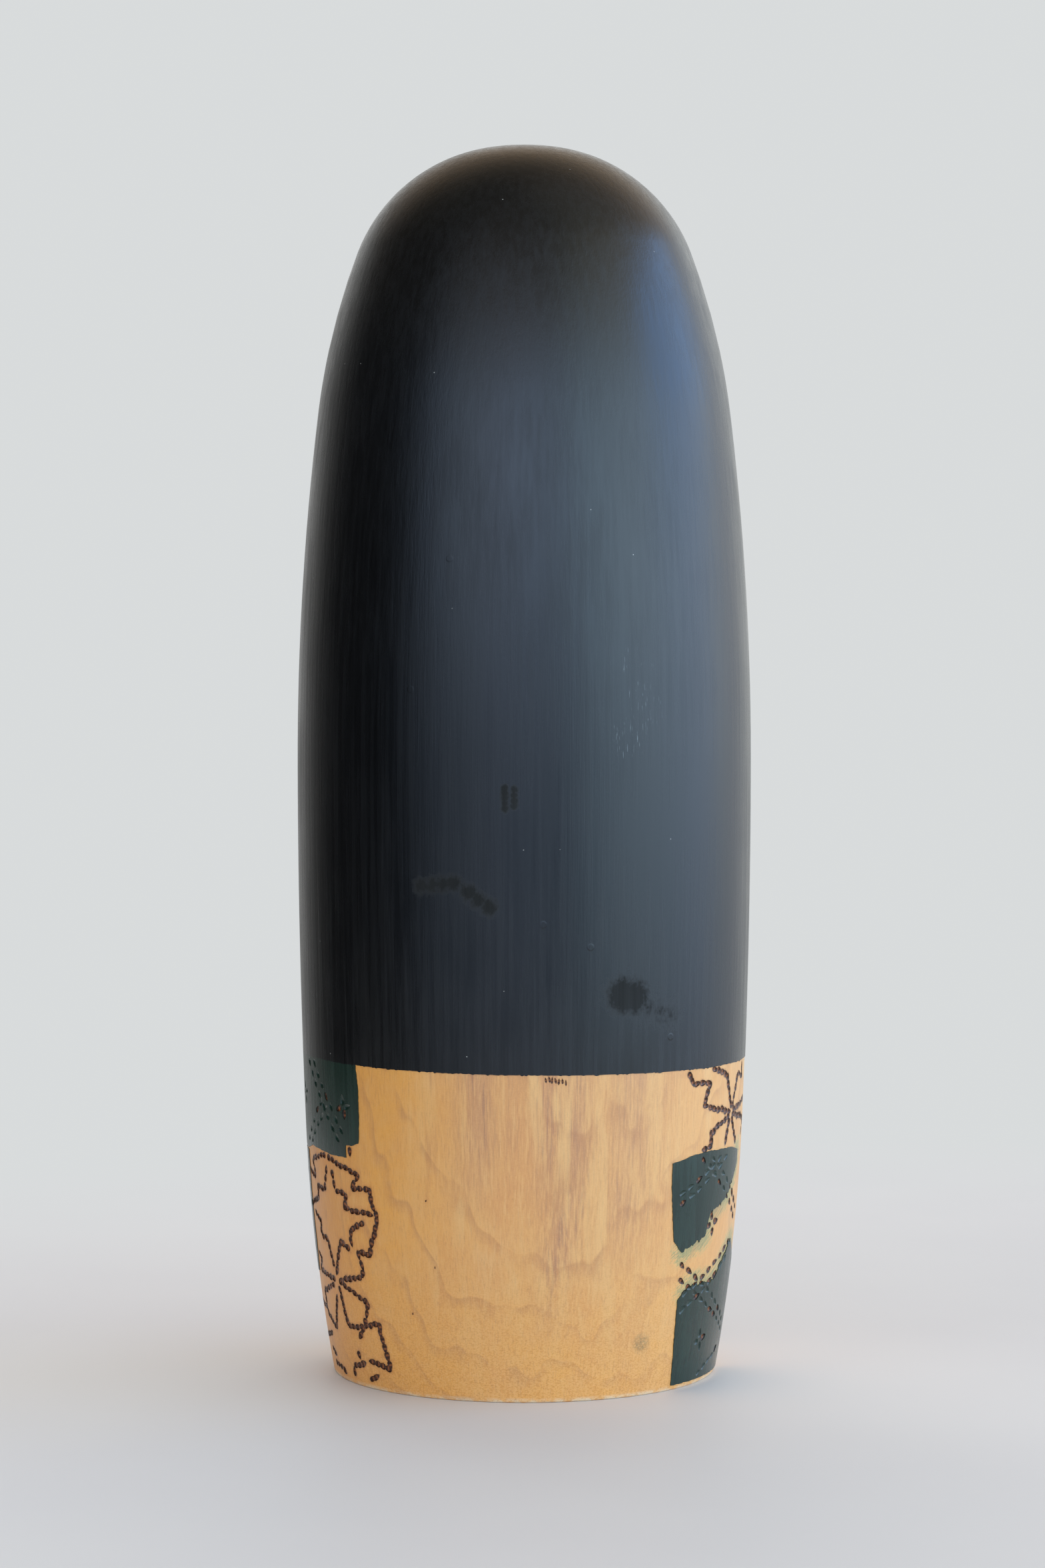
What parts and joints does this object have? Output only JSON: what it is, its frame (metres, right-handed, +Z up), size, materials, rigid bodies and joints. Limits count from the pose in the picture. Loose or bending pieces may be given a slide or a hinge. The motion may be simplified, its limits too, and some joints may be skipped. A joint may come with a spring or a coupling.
{
  "type": "kokeshi doll",
  "caption": "Tall bullet-shaped turned wooden doll with a smooth black painted head of hair, bare pale wood below, burnt stitch patterns and dark green painted panels.",
  "frame": {"origin": "centre of the foot, on the surface the doll stands on", "axes": "+Z up along the turning axis, the face looks along -Y, and the doll's own left hand is at +X"},
  "size_m": [0.13, 0.13, 0.3502],
  "materials": {
    "body_wood": "clear satin lacquer",
    "head_wood": "clear satin lacquer",
    "dowel_wood": "plain",
    "hair_black": "brushed satin black paint",
    "panel_green": "brushed satin dark green paint",
    "face_ink": "brushed ink",
    "lip_red": "brushed satin red paint"
  },
  "bodies": {
    "root": {"body_block": "body_wood", "head": "head_wood", "head_dowel": "dowel_wood", "hair_coat": "hair_black", "fringe_coat": "hair_black", "eyes_coat": "face_ink", "mouth_coat": "lip_red", "collar_coat": "panel_green", "panel_left_top": "panel_green", "panel_left_front": "panel_green", "panel_front_left_high": "panel_green", "panel_front_left_low": "panel_green", "panel_front_centre": "panel_green", "panel_front_right_high": "panel_green", "panel_front_right_low": "panel_green", "panel_right_upper": "panel_green", "panel_right_lower": "panel_green"}
  },
  "joints": []
}
